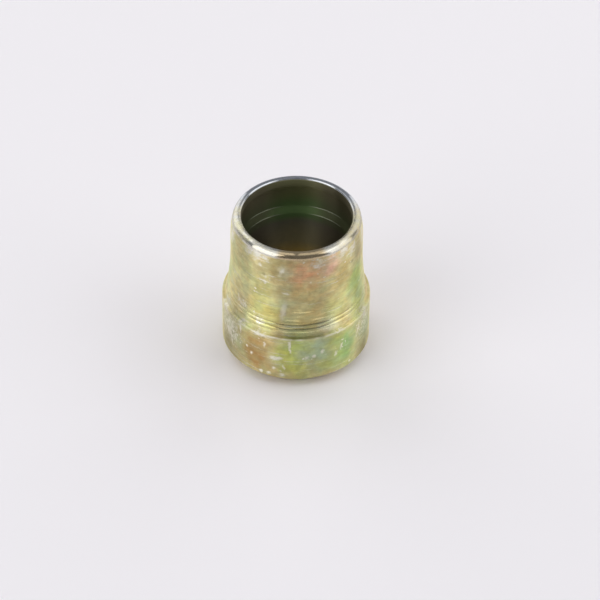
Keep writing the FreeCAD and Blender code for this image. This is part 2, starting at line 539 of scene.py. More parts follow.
@dataclass(frozen=True)
class Film:
    """The chromate film: a mottled straw and olive ground with blooms in it, some of them painted shade
    that dims lamp highlights and one a painted highlight, and faint turned lines.
    """

    borders: Drift = Drift(0.8, 2.0)
    ground: Cloud = Cloud(0.30, 4.0, 0.6, (1.0, 1.0, 0.8))
    hue: Cloud = Cloud(0.8, 2.0, 0.5, (1.0, 1.0, 1.3))
    hue_step: Step = Step(0.3, 0.7, 0.488, 0.512)
    saturation_step: Step = Step(0.25, 0.75, 1.15, 0.95)
    shade: Cloud = Cloud(1.2, 4.0, 0.62, (1.0, 1.0, 1.5))
    shade_step: Step = Step(0.3, 0.7, 0.86, 1.11)
    lines: Cloud = Cloud(1.0, 4.0, 0.7, (0.28, 0.28, 4.2))
    line_step: Step = Step(0.3, 0.7, -0.10, 0.10)
    base_lines: float = 0.3
    flare_lines: float = 0.75
    tones: Tones = (
        (0.35, (0.68, 0.57, 0.30, 1.0)),
        (0.50, (0.69, 0.62, 0.33, 1.0)),
        (0.65, (0.62, 0.62, 0.31, 1.0)),
    )
    blooms_and_painted_light: tuple[Bloom, ...] = (
        Bloom(Patch(-32.0, 4.3, 2.0, 0.95, 0.25), (0.49, 0.335, 0.15, 1.0)),
        Bloom(Patch(-32.0, 2.5, 2.2, 0.95, 0.25), (0.43, 0.295, 0.132, 1.0)),
        Bloom(Patch(-5.0, 4.4, 1.9, 0.85, 0.2), (0.65, 0.73, 0.245, 1.0)),
        Bloom(Patch(-2.0, 2.7, 2.0, 0.85, 0.2), (0.65, 0.72, 0.235, 1.0)),
        Bloom(Patch(16.0, 4.2, 2.3, 0.95, 0.2), (0.51, 0.61, 0.385, 1.0)),
        Bloom(Patch(42.0, 4.3, 1.9, 0.95), (0.375, 0.545, 0.205, 1.0)),
        Bloom(Patch(42.0, 2.7, 1.9, 0.95), (0.375, 0.545, 0.205, 1.0)),
        Bloom(Patch(31.0, 5.0, 1.5, 0.80), (0.41, 0.49, 0.165, 1.0)),
        Bloom(Patch(4.0, 1.6, 1.8, 0.60), (0.55, 0.54, 0.23, 1.0)),
        Bloom(Patch(28.0, 2.4, 2.0, 0.85, 0.1), (0.48, 0.55, 0.22, 1.0)),
        Bloom(Patch(-23.0, 1.2, 1.6, 0.75), (0.43, 0.37, 0.17, 1.0)),
        Bloom(Patch(4.0, 5.2, 1.5, 0.75), (0.58, 0.69, 0.22, 1.0)),
        Bloom(Patch(-62.0, 4.0, 2.8, 0.70), (0.52, 0.50, 0.34, 1.0)),
        Bloom(Patch(70.0, 3.6, 2.8, 0.80), (0.435, 0.49, 0.275, 1.0)),
        Bloom(Patch(62.0, 9.8, 2.6, 0.90, 0.2), (0.475, 0.585, 0.225, 1.0)),
        Bloom(Patch(64.0, 7.4, 2.2, 0.85, 0.2), (0.54, 0.60, 0.27, 1.0)),
        Bloom(Patch(8.0, 10.8, 2.0, 0.75, 0.1), (0.80, 0.66, 0.32, 1.0)),
        Bloom(Patch(8.0, 8.2, 2.2, 0.80, 0.1), (0.84, 0.70, 0.33, 1.0)),
        Bloom(Patch(-11.0, 9.4, 1.9, 0.75), (0.67, 0.71, 0.41, 1.0)),
        Bloom(Patch(7.0, 13.0, 2.4, 0.95, 0.1), (0.93, 0.60, 0.35, 1.0)),
        Bloom(Patch(31.0, 13.2, 2.1, 0.90, 0.1), (0.70, 0.48, 0.35, 1.0)),
        # Painted shade: darker, to dim the lamp highlight on the collar at the right
        Bloom(Patch(43.0, 11.3, 2.2, 0.90, 0.2), (0.53, 0.45, 0.215, 1.0)),
        # Painted shade: darker, to dim the lamp highlight on the collar at the left
        Bloom(Patch(-20.0, 13.2, 2.2, 0.90, 0.1), (0.47, 0.385, 0.185, 1.0)),
        Bloom(Patch(-11.5, 13.0, 1.1, 0.85, 0.2), (0.82, 0.76, 0.50, 1.0)),
        # Painted highlight: a pale patch low on the flare at the right
        Bloom(Patch(29.0, 6.7, 1.4, 0.85, 0.2), (0.82, 0.82, 0.60, 1.0)),
        # Painted shade: darker, to dim the lamp highlight on the collar at the left
        Bloom(Patch(-33.0, 10.5, 2.3, 0.85, 0.1), (0.51, 0.475, 0.205, 1.0)),
        # Painted shade: these two are toned down to dim the lamp highlights on the flare at the left and
        # the right
        Bloom(Patch(-27.0, 8.0, 2.4, 0.80, 0.3), (0.64, 0.605, 0.235, 1.0)),
        Bloom(Patch(36.0, 8.0, 2.2, 0.80, 0.3), (0.62, 0.61, 0.275, 1.0)),
        Bloom(Patch(-70.0, 7.7, 2.3, 0.90), (0.85, 0.76, 0.40, 1.0)),
        Bloom(Patch(-84.0, 8.8, 2.2, 0.80), (0.54, 0.60, 0.30, 1.0)),
        Bloom(Patch(68.0, 12.7, 2.3, 0.80), (0.48, 0.41, 0.23, 1.0)),
        Bloom(Patch(-57.0, 9.9, 2.6, 0.95, 0.1), (0.86, 0.80, 0.42, 1.0)),
        Bloom(Patch(120.0, 4.0, 4.0, 0.80), (0.58, 0.42, 0.20, 1.0)),
        Bloom(Patch(160.0, 10.0, 4.5, 0.80), (0.52, 0.60, 0.28, 1.0)),
        Bloom(Patch(-150.0, 3.5, 3.5, 0.80), (0.52, 0.60, 0.40, 1.0)),
        Bloom(Patch(-112.0, 11.5, 4.0, 0.80), (0.66, 0.46, 0.28, 1.0)),
    )

    def colour(self, graph: RingGraph) -> Socket:
        """The film's colour on the outside.

        Args:
            graph: the finish's nodes.

        Returns:
            The colour.
        """
        loose = self.borders.of(graph, graph.wall)
        colour = graph.tone(self.ground.at(graph, graph.wall), self.tones)
        # Blooms, some of them painted shade on lamp highlights and one a painted highlight
        for bloom in self.blooms_and_painted_light:
            colour = graph.blend(bloom.patch.at(graph, loose), colour, bloom.colour)
        hue = self.hue.at(graph, graph.wall)
        shade = self.shade_step.of(graph, self.shade.at(graph, graph.wall))
        lines = self.line_step.of(graph, self.lines.at(graph, graph.wall))
        clarity = graph.by_ledge(self.base_lines, self.flare_lines)
        lined = graph.math("MULTIPLY_ADD", lines, clarity, 1.0)
        mottled = {
            "Hue": self.hue_step.of(graph, hue),
            "Saturation": self.saturation_step.of(graph, hue),
            "Value": graph.math("MULTIPLY", shade, lined),
            "Color": colour,
        }
        return graph.node("ShaderNodeHueSaturation", mottled).outputs[0]


@dataclass(frozen=True)
class Rub:
    """Where handling has rubbed the film through to bright zinc: scuffs, and hairlines round the ring."""

    zinc: Colour = (0.80, 0.77, 0.68, 1.0)
    roughness: float = 0.32
    borders: Drift = Drift(1.2, 0.9)
    fray: Drift = Drift(4.0, 0.30)
    grain: Cloud = Cloud(3.0, 5.0, 0.75)
    strokes: Cloud = Cloud(1.4, 4.0, 0.65, (0.6, 0.6, 4.5))
    scuff_step: Step = Step(0.60, 0.80, 0.0, 0.90)
    hairs: Cloud = Cloud(1.0, 2.0, 0.5, (0.25, 0.25, 7.0))
    hair_step: Step = Step(0.62, 0.72, 0.0, 0.45)
    scuffed: tuple[Patch, ...] = (
        Patch(-76.0, 14.0, 2.2, 0.24),
        Patch(-45.0, 14.4, 1.5, 0.29),
        Patch(-37.0, 14.3, 1.5, 0.30),
        Patch(-28.0, 14.3, 1.2, 0.24),
        Patch(34.0, 14.5, 1.2, 0.22),
        Patch(47.0, 14.3, 1.6, 0.25),
        Patch(57.0, 13.9, 1.5, 0.24),
        Patch(19.0, 13.9, 1.4, 0.22),
        Patch(-28.0, 11.6, 1.5, 0.16),
        Patch(80.0, 13.6, 2.4, 0.20),
        Patch(-52.0, 7.9, 1.7, 0.18),
        Patch(-31.0, 6.8, 1.3, 0.22),
        Patch(-72.0, 5.8, 1.7, 0.24),
        Patch(-46.0, 5.9, 1.3, 0.20),
        Patch(66.0, 5.8, 1.7, 0.22),
        Patch(130.0, 13.8, 2.6, 0.20),
        Patch(-170.0, 6.0, 4.0, 0.15),
    )

    def share(self, graph: RingGraph) -> Socket:
        """How far the film is rubbed through, from 0 to 1.

        Args:
            graph: the finish's nodes.

        Returns:
            The wear.
        """
        loose = self.borders.of(graph, graph.wall)
        frayed = self.fray.of(graph, graph.wall)
        grain = self.grain.at(graph, graph.wall)
        strokes = self.strokes.at(graph, frayed)
        texture = graph.math("MULTIPLY", graph.math("ADD", grain, strokes), HALF)
        scuffs = graph.math("ADD", texture, heaviest(graph, loose, self.scuffed))
        scuffs = self.scuff_step.of(graph, scuffs)
        hairs = self.hair_step.of(graph, self.hairs.at(graph, frayed))
        return graph.math("MAXIMUM", scuffs, hairs)


@dataclass(frozen=True)
class Chalk:
    """Pale dry marks on the film: fields of fine scores, dots, scrapes, and a pale line along the ledge's
    outer edge.
    """

    colour: Colour = (0.90, 0.86, 0.72, 1.0)
    metallic: Step = Step(0.0, 1.0, 1.0, 0.30)
    roughness: float = 0.50
    borders: Drift = Drift(1.2, 0.9)
    fray: Drift = Drift(3.6, 0.36)
    score_drift: Drift = Drift(2.5, 0.2)
    score_lean: Triple = (0.45, 0.0, 0.0)
    score_cloud: Cloud = Cloud(1.1, 3.0, 0.6, (6.5, 6.5, 0.65))
    score_step: Step = Step(0.68, 0.84, 0.0, 0.85)
    dots: Specks = Specks(1.5, 0.22, 0.15)
    dot_cover: float = 0.75
    grit: Cloud = Cloud(4.0, 3.0, 0.7)
    grit_step: Step = Step(0.36, 0.48, 0.65, 1.0)
    # A pale line along the ledge's outer edge, strongest in front
    edge_band: Band = Band(-0.28, -0.12, -0.03, -0.005)
    edge_cloud: Cloud = Cloud(1.3, 3.0)
    edge_step: Step = Step(0.35, 0.65, 0.1, 0.75)
    edge_front: Patch = Patch(-6.0, 5.8, 5.5, 0.95, 0.6)
    edge_elsewhere: float = 0.3
    scored: tuple[Patch, ...] = (
        Patch(-62.0, 4.2, 3.3, 0.26, 0.15),
        Patch(-52.0, 7.6, 1.6, 0.16),
        Patch(66.0, 4.4, 2.6, 0.22, 0.1),
        Patch(38.0, 4.0, 1.6, 0.14),
        Patch(150.0, 3.6, 3.2, 0.20),
        Patch(-128.0, 4.4, 2.8, 0.22),
    )
    scrapes: tuple[Scrape, ...] = (
        Scrape(-15.0, 3.30, 0.80, 0.32, 0.90, 6.0, 0.4),
        Scrape(-40.5, 3.60, 0.18, 0.20, 0.95),
        Scrape(-36.0, 3.00, 0.29, 0.22, 0.95, 80.0),
        Scrape(-24.5, 4.65, 0.51, 0.16, 0.70, 84.0),
        Scrape(-4.5, 5.10, 0.75, 0.20, 0.90, 90.0),
        Scrape(-4.0, 4.40, 0.48, 0.13, 0.85, 105.0),
        Scrape(9.0, 3.55, 0.39, 0.26, 0.70, 70.0),
        Scrape(14.5, 3.65, 0.34, 0.25, 0.75, 70.0),
        Scrape(21.0, 4.00, 0.37, 0.23, 0.75, 75.0),
        Scrape(32.5, 3.20, 0.45, 0.20, 0.65, 80.0),
        Scrape(38.0, 3.90, 0.53, 0.14, 0.75, 70.0),
        Scrape(-27.5, 1.30, 0.29, 0.26, 0.95),
        Scrape(-21.0, 1.35, 0.29, 0.26, 0.95),
        Scrape(-17.0, 2.05, 0.24, 0.25, 0.95),
        Scrape(-10.0, 1.40, 0.34, 0.30, 0.85),
        Scrape(-9.0, 2.30, 0.45, 0.16, 0.70, 110.0),
        Scrape(-10.5, 8.60, 1.60, 0.42, 0.55, 80.0),
        Scrape(-8.5, 10.60, 0.57, 0.17, 0.75, -8.0),
        Scrape(-28.5, 11.55, 0.80, 0.13, 0.90),
        Scrape(-21.0, 12.35, 0.69, 0.12, 0.50),
        Scrape(-12.0, 13.20, 0.50, 0.32, 0.85, 65.0, 0.1),
        Scrape(-33.0, 13.25, 0.30, 0.26, 0.85),
        Scrape(-56.0, 7.95, 0.69, 0.13, 0.85, -55.0),
        Scrape(-48.5, 7.80, 0.57, 0.13, 0.80, -50.0),
        Scrape(-47.5, 5.20, 0.69, 0.17, 0.90, 95.0),
        Scrape(-59.0, 2.70, 0.69, 0.14, 0.85, 110.0),
        Scrape(-53.5, 3.60, 0.80, 0.14, 0.85, 105.0),
        Scrape(56.5, 4.50, 0.69, 0.17, 0.80, 65.0),
        Scrape(-30.0, 5.72, 1.10, 0.21, 0.95, 0.0, 0.4),
        Scrape(36.0, 5.75, 1.00, 0.14, 0.80),
    )

    def marks(self, graph: RingGraph) -> Socket:
        """How far scores, dots and scrapes cover the film, from 0 to 1.

        Args:
            graph: the finish's nodes.

        Returns:
            The cover.
        """
        loose = self.borders.of(graph, graph.wall)
        frayed = self.fray.of(graph, graph.wall)
        lean = graph.scaled(self.score_lean, graph.height)
        leaning = graph.vector("ADD", self.score_drift.of(graph, graph.wall), lean)
        scores = self.score_cloud.at(graph, leaning)
        scores = graph.math("ADD", scores, heaviest(graph, loose, self.scored))
        scores = self.score_step.of(graph, scores)
        dots = graph.math("MULTIPLY", self.dots.at(graph, frayed), self.dot_cover)
        cover = graph.fold("MAXIMUM", (scores, dots, heaviest(graph, frayed, self.scrapes)))
        grit = self.grit_step.of(graph, self.grit.at(graph, graph.wall))
        return graph.math("MULTIPLY", cover, grit)

    def edge(self, graph: RingGraph) -> Socket:
        """How far a pale line covers the ledge's outer edge, from 0 to 1.

        Args:
            graph: the finish's nodes.

        Returns:
            The cover, 0 away from the edge.
        """
        band = self.edge_band.of(graph, graph.height, graph.stations.shoulder)
        patchy = self.edge_step.of(graph, self.edge_cloud.at(graph, graph.place))
        front = self.edge_front.at(graph, graph.place)
        front = graph.math("MAXIMUM", front, self.edge_elsewhere)
        return graph.fold("MULTIPLY", (band, patchy, front))

    def share(self, graph: RingGraph) -> Socket:
        """How far all the pale marks cover the film, from 0 to 1."""
        return graph.math("MAXIMUM", self.marks(graph), self.edge(graph))


@dataclass(frozen=True)
class DirtAndShade:
    """Dark marks in one colour: pits of dirt, painted shade in the ledge's corner and in the tool's rings,
    held to the front, and dark patches low on the base.
    """

    colour: Colour = (0.24, 0.19, 0.085, 1.0)
    pit_drift: Drift = Drift(3.0, 0.4)
    pits: Specks = Specks(1.0, 0.24, 0.12)
    pit_cover: float = 0.4
    # Painted shade: a dark line in the ledge's corner and in the bottoms of the tool's rings, held to the
    # front by the patch below
    corner_shade_band: Band = Band(-0.05, 0.0, 0.0, 0.03)
    corner_shade_cloud: Cloud = Cloud(0.5, 3.0)
    corner_shade_step: Step = Step(0.4, 0.6, 0.15, 0.35)
    ring_shade: Step = Step(0.35, 0.85, 0.0, 0.65)
    front_shade: Patch = Patch(3.5, 6.5, 3.2, 1.0, 0.75)
    borders: Drift = Drift(1.2, 0.9)
    # Dark patches low on the base, near its bottom edge
    low_dark_patches: tuple[Patch, ...] = (
        Patch(-68.0, 2.0, 2.2, 0.45, 0.1),
        Patch(66.0, 1.4, 1.9, 0.60),
        Patch(110.0, 1.2, 2.0, 0.50),
        Patch(-140.0, 1.2, 2.4, 0.50),
    )

    def share(self, graph: RingGraph, groove: Socket) -> Socket:
        """How far dirt, painted shade and the low dark patches cover the film, from 0 to 1.

        Args:
            graph: the finish's nodes.
            groove: how deep in one of the tool's rings the point lies.

        Returns:
            The cover.
        """
        pits = self.pits.at(graph, self.pit_drift.of(graph, graph.place))
        pits = graph.math("MULTIPLY", pits, self.pit_cover)
        # Painted shade in the ledge's corner and in the rings, held to the front
        corner = self.corner_shade_band.of(graph, graph.height, graph.stations.shoulder)
        cloudy = self.corner_shade_step.of(graph, self.corner_shade_cloud.at(graph, graph.place))
        corner = graph.math("MULTIPLY", corner, cloudy)
        front_shade = graph.math("MAXIMUM", corner, self.ring_shade.of(graph, groove))
        front_shade = graph.math("MULTIPLY", front_shade, self.front_shade.at(graph, graph.wall))
        low_dark_patches = heaviest(graph, self.borders.of(graph, graph.wall), self.low_dark_patches)
        return graph.fold("MAXIMUM", (pits, front_shade, low_dark_patches))


@dataclass(frozen=True)
class Rim:
    """The nose's rim, rubbed to bright zinc, with a painted dark warm reflection in front and a painted
    cold reflection behind, dull on one side.
    """

    zinc: Colour = (0.63, 0.61, 0.54, 1.0)
    # Painted reflections: a cold tint on the back of the rim and a dark warm tint on its front
    back_reflection_tint: Colour = (0.53, 0.55, 0.58, 1.0)
    front_reflection_tint: Colour = (0.60, 0.40, 0.14, 1.0)
    roughness: float = 0.145
    ragged_mm: float = 0.25
    foot: Step = Step(-0.04, 0.10)
    patchy: Cloud = Cloud(1.1, 3.0, 0.6, (1.0, 1.0, 3.0))
    patchy_step: Step = Step(0.35, 0.65, 0.45, 0.95)
    dirt_step: Step = Step(0.45, 0.75, 0.0, 0.35)
    polished: Patch = Patch(4.0, 14.7, 5.8, 1.0, 0.65)
    # The back of the rim, counted as rubbed, where the painted cold reflection lies
    cold: Patch = Patch(180.0, 14.8, 11.0, 1.0, 0.6)
    front_reflection_patch: Patch = Patch(5.0, 14.7, 2.9, 0.60, 0.7)
    dulled: Patch = Patch(70.0, 14.7, 4.6, 0.38, 0.3)

    def layer(self, graph: RingGraph, grain: Socket, dirt_and_shade: Colour) -> tuple[Socket, Socket]:
        """Where the rim is rubbed, and what it looks like there.

        Args:
            graph: the finish's nodes.
            grain: the plate's grain, which frays the rim's foot.
            dirt_and_shade: the dark colour of the dirt and painted shade, which dulls the rim in places.

        Returns:
            The rim's cover, from 0 to 1, and its colour.
        """
        frayed = graph.math("SUBTRACT", grain, HALF)
        frayed = graph.math("MULTIPLY_ADD", frayed, self.ragged_mm, graph.height)
        cover = self.foot.of(graph, frayed, graph.stations.rim_foot)
        cold = self.cold.at(graph, graph.wall)
        polish = self.polished.at(graph, graph.wall)
        patchy = self.patchy_step.of(graph, self.patchy.at(graph, graph.place))
        cover = graph.math("MULTIPLY", cover, graph.fold("MAXIMUM", (polish, patchy, cold)))
        # Painted cold reflection behind, painted dark warm reflection in front
        colour = graph.blend(cold, self.zinc, self.back_reflection_tint)
        colour = graph.blend(self.front_reflection_patch.at(graph, graph.wall), colour, self.front_reflection_tint)
        dulled = self.dulled.at(graph, graph.wall)
        dulled = graph.math("MAXIMUM", dulled, self.dirt_step.of(graph, grain))
        return cover, graph.blend(dulled, colour, dirt_and_shade)


@dataclass(frozen=True)
class BoreTintAndPaintedLight:
    """The film in the bore, darkened as painted shade: its colour turns with the height, painted shade
    darkens its sides and painted highlights lie on the two edges of its cone.
    """

    metallic: Step = Step(0.0, 1.0, 1.0, 0.60)
    roughness: float = 0.50
    edge_roughness: float = 0.28
    # Painted highlight lines on the two edges of the bore's cone, held to its left and right flanks
    edge_highlight_colour: Colour = (0.46, 0.49, 0.36, 1.0)
    edge_highlight_line: Step = Step(0.018, 0.06, 1.0, 0.0)
    edge_highlight_flanks: Band = Band(0.9, 2.3, 3.5, 4.4)
    mouth: Step = Step(-0.12, -0.06, 1.0, 0.0)
    cloud: Cloud = Cloud(0.45, 3.0)
    cloud_lift: float = 0.05
    # Painted shade: the bore's left and right walls are darkened towards this colour
    painted_side_shade: Colour = (0.06, 0.045, 0.025, 1.0)
    side_shade_middle_mm: float = -0.15
    side_shade_step: Step = Step(0.6, 3.2, 0.0, 0.8)
    # Far darker than the film outside, as painted shade in the bore. The light stop at 0.93, just under
    # the lip, is painted light against the lip's shadow, and the dark stop at 0.945, on the lip, is
    # painted shade.
    tones: Tones = (
        (0.40, (0.80, 0.57, 0.16, 1.0)),
        (0.50, (0.42, 0.36, 0.19, 1.0)),
        (0.66, (0.215, 0.205, 0.135, 1.0)),
        (0.70, (0.145, 0.235, 0.08, 1.0)),
        (0.75, (0.18, 0.29, 0.10, 1.0)),
        (0.79, (0.145, 0.23, 0.075, 1.0)),
        (0.86, (0.19, 0.21, 0.08, 1.0)),
        (0.90, (0.225, 0.225, 0.095, 1.0)),
        (0.93, (0.42, 0.41, 0.19, 1.0)),
        (0.945, (0.235, 0.23, 0.11, 1.0)),
        (1.0, (0.34, 0.33, 0.17, 1.0)),
    )

    def share(self, graph: RingGraph) -> Socket:
        """How far a point lies in the bore.

        Args:
            graph: the finish's nodes.

        Returns:
            1 in the bore, 0 outside it and at its front mouth.
        """
        below_mouth = self.mouth.of(graph, graph.height, graph.stations.top)
        inside = graph.math("LESS_THAN", graph.reach, graph.stations.bore_reach)
        return graph.math("MULTIPLY", inside, below_mouth)

    def layer(self, graph: RingGraph) -> tuple[Socket, Socket]:
        """What the bore looks like, with its painted shade, and where painted highlights lie on the two
        edges of its cone.

        Args:
            graph: the finish's nodes.

        Returns:
            The colour, and how bright the painted edge highlights are, from 0 to 1.
        """
        stations = graph.stations
        cloudy = graph.math("SUBTRACT", self.cloud.at(graph, graph.place), HALF)
        level = graph.math("DIVIDE", graph.height, stations.top)
        colour = graph.tone(graph.math("MULTIPLY_ADD", cloudy, self.cloud_lift, level), self.tones)
        # Painted shade on the bore's left and right walls, growing away from the middle
        across = graph.axis(graph.place, "X")
        aside = graph.math("ABSOLUTE", graph.math("SUBTRACT", across, self.side_shade_middle_mm))
        colour = graph.blend(self.side_shade_step.of(graph, aside), colour, self.painted_side_shade)
        # Painted highlight lines at the cone's two edges, on the bore's flanks only
        flanks = self.edge_highlight_flanks.of(graph, aside)
        lines = []
        for edge in (stations.guide_top, stations.relief_foot):
            away = graph.math("ABSOLUTE", graph.math("SUBTRACT", graph.height, edge))
            lines.append(self.edge_highlight_line.of(graph, away))
        edges = graph.math("MULTIPLY", graph.fold("MAXIMUM", lines), flanks)
        return graph.blend(edges, colour, self.edge_highlight_colour), edges


@dataclass(frozen=True)
class Relief:
    """The fine turning lines and the plate's grain, which are polished away on the rim."""

    lines: Cloud = Cloud(1.0, 4.0, 0.7, (0.10, 0.10, 8.0))
    mottle: Cloud = Cloud(7.0, 3.0, 0.65)
    mottle_share: float = 0.5
    polish: Step = Step(-0.1, 0.05, 1.0, 0.0)
    strength: float = 0.5
    depth: float = 0.02 * MM

    def normal(self, graph: RingGraph) -> Socket:
        """The surface's direction with the fine marks on it.

        Args:
            graph: the finish's nodes.

        Returns:
            The bumped normal.
        """
        lines = self.lines.at(graph, graph.place)
        mottle = self.mottle.at(graph, graph.place)
        marked = graph.math("MULTIPLY_ADD", mottle, self.mottle_share, lines)
        unpolished = self.polish.of(graph, graph.height, graph.stations.rim_foot)
        marked = graph.math("MULTIPLY", marked, unpolished)
        sockets = {"Strength": self.strength, "Distance": self.depth, "Height": marked}
        return graph.node("ShaderNodeBump", sockets).outputs[0]


@dataclass(frozen=True)
class YellowZinc:
    """The finish: bright zinc under a thin chromate film whose colour turns with its thickness."""

    stations: Stations
    marks: TurningMarks
    name: str = "yellow_chromate_zinc"
    film: Film = Film()
    rub: Rub = Rub()
    chalk: Chalk = Chalk()
    dirt_and_shade: DirtAndShade = DirtAndShade()
    rim: Rim = Rim()
    bore: BoreTintAndPaintedLight = BoreTintAndPaintedLight()
    relief: Relief = Relief()
    grain: Cloud = Cloud(3.0, 5.0, 0.7)
    grain_roughness: Step = Step(0.3, 0.7, -0.07, 0.07)
    flare_roughness: float = 0.40
    base_roughness: float = 0.36
    ring_roughness: float = 0.16
    ring_step: Step = Step(0.0, 0.5)
    anisotropy: float = 1.0
    quarter_turn: float = 0.25

    def material(self) -> bpy.types.Material:
        """Build the finish's nodes.

        Returns:
            The material.
        """
        made = bpy.data.materials.new(self.name)
        graph = RingGraph(blank_tree(made), self.stations)
        grain = self.grain.at(graph, graph.place)
        worn = self.rub.share(graph)
        chalky = self.chalk.share(graph)
        in_bore = self.bore.share(graph)
        rings = self.marks.share(graph, graph.place, self.marks.sizes(self.stations.shoulder))
        groove = graph.math("SUBTRACT", rings, in_bore)
        ringed = self.ring_step.of(graph, groove)
        # Dirt pits, painted shade in the ledge's corner and rings, and dark patches low on the base
        dirt_and_shade_cover = self.dirt_and_shade.share(graph, groove)

        colour = graph.blend(worn, self.film.colour(graph), self.rub.zinc)
        colour = graph.blend(dirt_and_shade_cover, colour, self.dirt_and_shade.colour)
        colour = graph.blend(chalky, colour, self.chalk.colour)
        # The rim, rubbed zinc with its painted reflections
        rim, rim_colour = self.rim.layer(graph, grain, self.dirt_and_shade.colour)
        colour = graph.blend(rim, colour, rim_colour)
        # The bore's tones darkened as painted shade, with painted side shade and painted edge highlights
        bore_colour, edges = self.bore.layer(graph)
        colour = graph.blend(in_bore, colour, bore_colour)

        edged = graph.math("MULTIPLY", edges, in_bore)
        rough = graph.by_ledge(self.base_roughness, self.flare_roughness)
        rough = graph.math("ADD", rough, self.grain_roughness.of(graph, grain))
        for share, target in (
            (worn, self.rub.roughness),
            (chalky, self.chalk.roughness),
            (ringed, self.ring_roughness),
            (rim, self.rim.roughness),
            (in_bore, self.bore.roughness),
            (edged, self.bore.edge_roughness),
        ):
            gap = graph.math("SUBTRACT", target, rough)
            rough = graph.math("MULTIPLY_ADD", share, gap, rough)
        dry = graph.math("MULTIPLY", chalky, graph.math("SUBTRACT", 1.0, rim))
        filmed = graph.math("SUBTRACT", in_bore, edged)
        metallic = self.bore.metallic.of(graph, filmed)
        metallic = graph.math("MULTIPLY", self.chalk.metallic.of(graph, dry), metallic)

        around = graph.node("ShaderNodeTangent", direction_type="RADIAL", axis="Z").outputs[0]
        sockets = {
            "Base Color": colour,
            "Metallic": metallic,
            "Roughness": rough,
            "Anisotropic": self.anisotropy,
            "Anisotropic Rotation": self.quarter_turn,
            "Tangent": around,
            "Normal": self.relief.normal(graph),
        }
        shader = graph.node("ShaderNodeBsdfPrincipled", sockets)
        graph.node("ShaderNodeOutputMaterial", {"Surface": shader.outputs[0]})
        return made


@dataclass(frozen=True)
class Corner:
    """A corner of the ring's section, with the round on it and how finely the next run is divided."""

    radius: float
    height: float
    edge_round: float = 0.0
    step: float = 0.8 * MM

    @property
    def spot(self) -> Vector:
        """The corner as a flat point: radius across, height up."""
        return Vector((self.radius, self.height))


